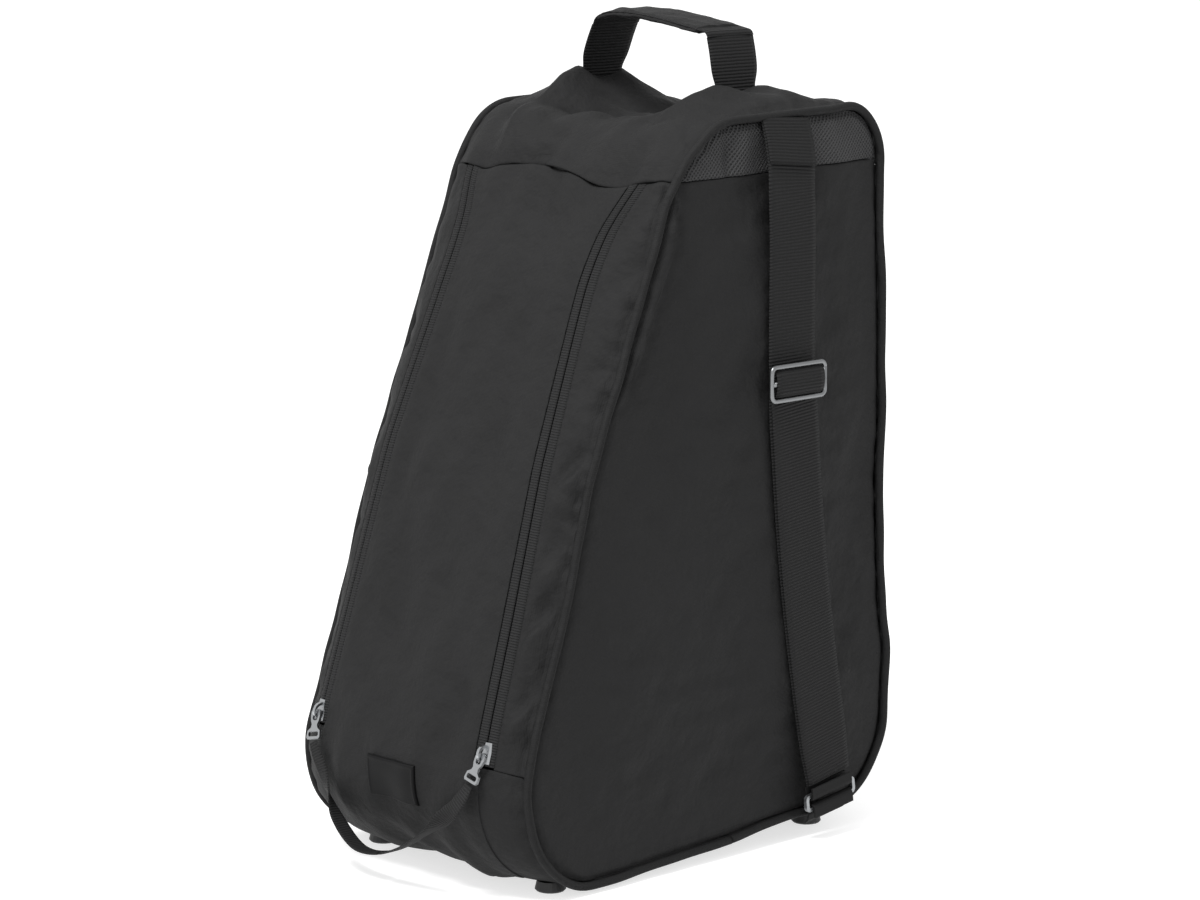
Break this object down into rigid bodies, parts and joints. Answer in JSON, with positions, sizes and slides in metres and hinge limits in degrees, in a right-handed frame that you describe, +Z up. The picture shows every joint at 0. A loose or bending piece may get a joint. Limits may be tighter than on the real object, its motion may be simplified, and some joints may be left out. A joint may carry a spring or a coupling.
{
  "type": "wellington boot bag",
  "caption": "Tall soft boot bag: wide base, sloping zipped front flap, piped sides, carrying handle, side shoulder strap and rubbery feet.",
  "frame": {"origin": "middle of the bag's bounding box at the floor, measured without the free pull tape", "axes": "+Z up, +Y towards the back of the bag, +X towards the side that carries the shoulder strap"},
  "size_m": [0.2168, 0.3353, 0.4854],
  "materials": {
    "nylon": "matt coated woven nylon",
    "mesh": "fine airing mesh",
    "webbing": "ribbed webbing",
    "zip_tape": "woven zip tape",
    "zip_coil": "satin nylon coil",
    "zinc": "polished nickel plate",
    "steel": "satin",
    "buckle": "satin grey",
    "plastic": "matt black",
    "label": "soft matt, blank"
  },
  "bodies": {
    "shell": {"back_panel": "nylon", "base_board": "plastic", "bottom_panel": "nylon", "bottom_ring": "steel", "foot_back_left": "plastic", "foot_back_right": "plastic", "foot_front_left": "plastic", "foot_front_right": "plastic", "foot_screw_back_left": "steel", "foot_screw_back_right": "steel", "foot_screw_front_left": "steel", "foot_screw_front_right": "steel", "front_strip_left": "nylon", "front_strip_right": "nylon", "handle_anchor_left": "webbing", "handle_anchor_right": "webbing", "handle_leg_left": "webbing", "handle_leg_right": "webbing", "lower_front_panel": "nylon", "piping_left": "webbing", "piping_right": "webbing", "ring_tab": "webbing", "side_mesh_left": "mesh", "side_mesh_right": "mesh", "side_panel_left": "nylon", "side_panel_right": "nylon", "strap_foot_fold": "webbing", "strap_lower_run": "webbing", "strap_return_run": "webbing", "strap_top_tab": "webbing", "strap_upper_run": "webbing", "top_panel": "nylon", "zip_coil_outer_left": "zip_coil", "zip_coil_outer_right": "zip_coil", "zip_tape_outer_left": "zip_tape", "zip_tape_outer_right": "zip_tape"},
    "flap": {"front_flap": "nylon", "label_patch": "label", "zip_tape_inner_right": "zip_tape", "zip_tape_inner_left": "zip_tape", "zip_coil_inner_right": "zip_coil", "zip_coil_inner_left": "zip_coil"},
    "slider_right": {"slider_right": "zinc"},
    "slider_left": {"slider_left": "zinc"},
    "pull_right": {"pull_right": "zinc", "pull_tape": "webbing"},
    "pull_left": {"pull_left": "zinc"},
    "handle": {"handle_grip": "webbing", "handle_sleeve": "nylon"},
    "tri_glide": {"tri_glide": "buckle", "strap_bar_wrap": "webbing"}
  },
  "joints": [
    {"name": "flap_hinge", "type": "hinge", "parent": "shell", "child": "flap", "pos_m": [-0.00567, -0.0333, 0.40089], "axis": [-1, 0, 0], "range_deg": [0, 100]},
    {"name": "zip_slide", "type": "slide", "parent": "shell", "child": "slider_right", "axis": [-0.0521, 0.3537, 0.9339], "range_m": [0, 0.3061]},
    {"name": "left_slider_gather", "type": "slide", "parent": "slider_right", "child": "slider_left", "axis": [1, 0, 0], "range_m": [0, 0.03201]},
    {"name": "pull_swing", "type": "hinge", "parent": "slider_right", "child": "pull_right", "pos_m": [0.06551, -0.15536, 0.08715], "axis": [-1, 0, 0], "range_deg": [0, 80]},
    {"name": "left_pull_gather", "type": "slide", "parent": "pull_right", "child": "pull_left", "axis": [1, 0, 0], "range_m": [0, 0.03201], "deforming": ["pull_tape"]},
    {"name": "handle_press", "type": "slide", "parent": "shell", "child": "handle", "axis": [0, 0, 1], "range_m": [-0.02, 0], "stiffness_N_per_m": 60, "springref_m": 0.006, "deforming": ["handle_leg_right", "handle_leg_left"]},
    {"name": "tri_glide_slide", "type": "slide", "parent": "shell", "child": "tri_glide", "axis": [0, 0.1408, -0.99], "range_m": [0, 0.15], "deforming": ["strap_return_run"]}
  ],
  "couplings": [
    {"joint": "zip_slide", "follows": "flap_hinge", "m_per_rad": 0.17533},
    {"joint": "left_slider_gather", "follows": "flap_hinge", "m_per_rad": 0.018285},
    {"joint": "left_pull_gather", "follows": "flap_hinge", "m_per_rad": 0.018285}
  ]
}
